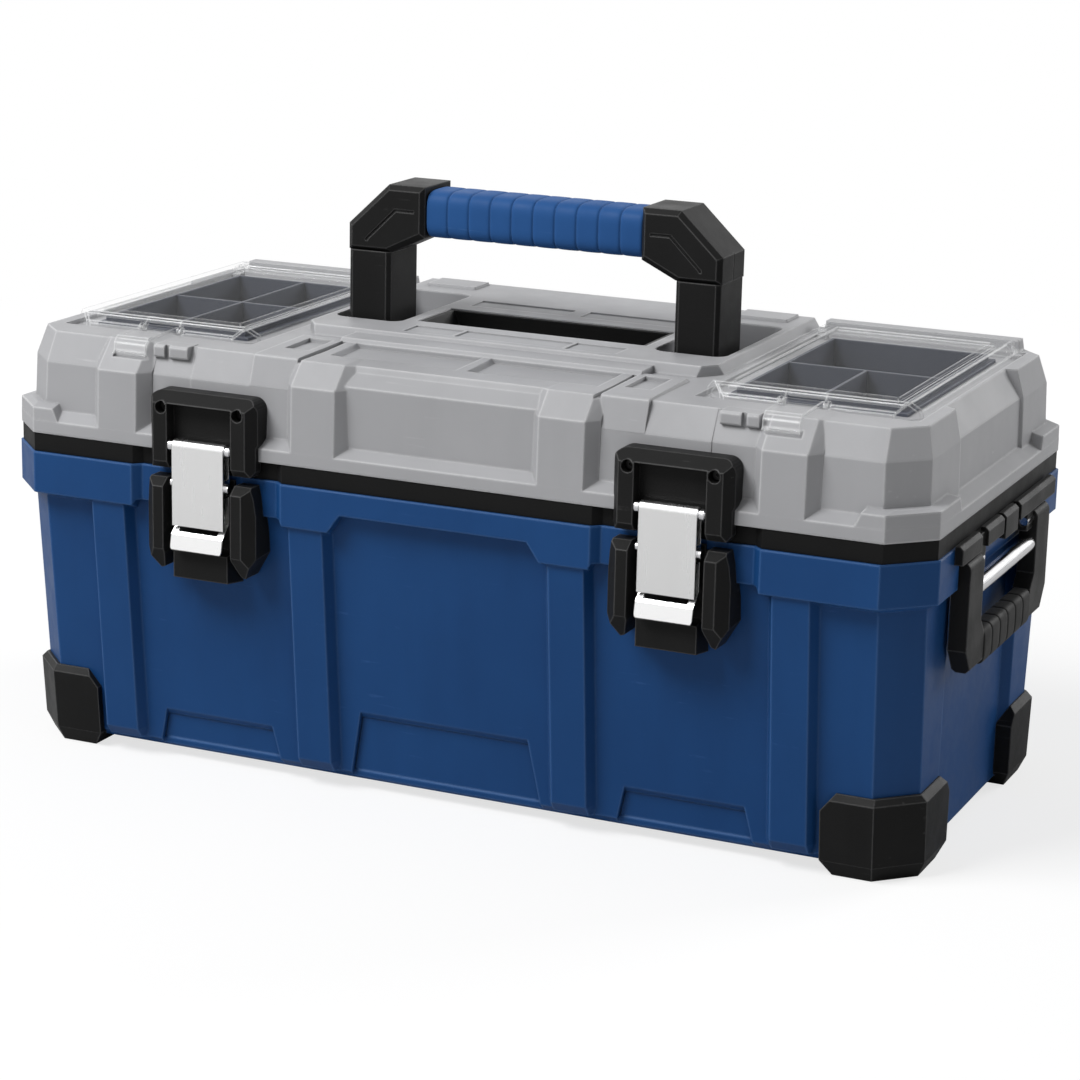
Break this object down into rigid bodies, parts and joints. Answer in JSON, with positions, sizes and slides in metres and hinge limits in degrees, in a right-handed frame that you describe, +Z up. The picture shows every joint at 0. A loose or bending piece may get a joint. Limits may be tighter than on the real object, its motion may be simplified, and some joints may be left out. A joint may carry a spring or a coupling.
{
  "type": "hard tool case",
  "caption": "Hard tool case with a hinged lid, draw latches, a folding carry handle, side handles and small-parts organisers under clear lids.",
  "frame": {"origin": "on the floor, under the middle of the case", "axes": "+X along the case to the user's right, -Y towards the front with the latches, +Z up"},
  "size_m": [0.5756, 0.3023, 0.3336],
  "materials": {
    "shell_blue": "satin moulded",
    "lid_grey": "satin moulded",
    "trim_black": "satin moulded",
    "seal_black": "matt",
    "grip_blue": "soft matt",
    "bin_grey": "satin moulded",
    "clear": "clear moulded",
    "bright_steel": "bright",
    "black_steel": "blackened"
  },
  "bodies": {
    "case": {"body_shell": "shell_blue", "corner_guard_front_left": "trim_black", "corner_guard_front_right": "trim_black", "corner_guard_rear_left": "trim_black", "corner_guard_rear_right": "trim_black", "seal_frame": "seal_black", "latch_keeper_left": "trim_black", "latch_keeper_right": "trim_black", "side_rail_left": "trim_black", "side_rail_right": "trim_black", "side_pins_left": "bright_steel", "side_pins_right": "bright_steel", "hinge_bracket_left": "trim_black", "hinge_bracket_right": "trim_black", "hinge_pin_left": "bright_steel", "hinge_pin_right": "bright_steel", "hinge_screws": "bright_steel"},
    "lid": {"lid_shell": "lid_grey", "handle_well_tray": "trim_black", "organiser_bin_left": "bin_grey", "organiser_bin_right": "bin_grey", "latch_housing_left": "trim_black", "latch_housing_right": "trim_black", "latch_pin_left": "bright_steel", "latch_pin_right": "bright_steel", "latch_screws": "black_steel", "handle_pins": "bright_steel"},
    "latch_left": {"latch_lever_left": "bright_steel", "latch_rivets_left": "bright_steel"},
    "latch_right": {"latch_lever_right": "bright_steel", "latch_rivets_right": "bright_steel"},
    "carry_handle": {"handle_frame": "trim_black", "handle_elbow_left": "trim_black", "handle_elbow_right": "trim_black", "handle_grip": "grip_blue"},
    "organiser_cover_left": {"organiser_lid_left": "clear"},
    "organiser_cover_right": {"organiser_lid_right": "clear"},
    "clip_left": {"organiser_clip_left": "clear"},
    "clip_right": {"organiser_clip_right": "clear"},
    "side_bail_left": {"side_handle_left": "trim_black", "side_grip_left": "trim_black", "side_tube_left": "bright_steel"},
    "side_bail_right": {"side_handle_right": "trim_black", "side_grip_right": "trim_black", "side_tube_right": "bright_steel"}
  },
  "joints": [
    {"name": "lid_hinge", "type": "hinge", "parent": "case", "child": "lid", "pos_m": [0, 0.145, 0.186], "axis": [-1, 0, 0], "range_deg": [0, 100]},
    {"name": "latch_left_pivot", "type": "hinge", "parent": "lid", "child": "latch_left", "pos_m": [-0.142, -0.145, 0.197], "axis": [-1, 0, 0], "range_deg": [0, 110]},
    {"name": "latch_right_pivot", "type": "hinge", "parent": "lid", "child": "latch_right", "pos_m": [0.142, -0.145, 0.197], "axis": [-1, 0, 0], "range_deg": [0, 110]},
    {"name": "carry_handle_pivot", "type": "hinge", "parent": "lid", "child": "carry_handle", "pos_m": [0, 0.002, 0.24], "axis": [-1, 0, 0], "range_deg": [0, 58]},
    {"name": "organiser_left_hinge", "type": "hinge", "parent": "lid", "child": "organiser_cover_left", "pos_m": [-0.198, 0.0994, 0.2508], "axis": [-1, 0, 0], "range_deg": [0, 105]},
    {"name": "organiser_right_hinge", "type": "hinge", "parent": "lid", "child": "organiser_cover_right", "pos_m": [0.198, 0.0994, 0.2508], "axis": [-1, 0, 0], "range_deg": [0, 105]},
    {"name": "clip_left_pivot", "type": "hinge", "parent": "organiser_cover_left", "child": "clip_left", "pos_m": [-0.196, -0.096, 0.2512], "axis": [-1, 0, 0], "range_deg": [0, 95]},
    {"name": "clip_right_pivot", "type": "hinge", "parent": "organiser_cover_right", "child": "clip_right", "pos_m": [0.196, -0.096, 0.2512], "axis": [-1, 0, 0], "range_deg": [0, 95]},
    {"name": "side_handle_left_pivot", "type": "hinge", "parent": "case", "child": "side_bail_left", "pos_m": [-0.28175, 0, 0.166], "axis": [0, 1, 0], "range_deg": [0, 90]},
    {"name": "side_handle_right_pivot", "type": "hinge", "parent": "case", "child": "side_bail_right", "pos_m": [0.28175, 0, 0.166], "axis": [0, -1, 0], "range_deg": [0, 90]}
  ]
}
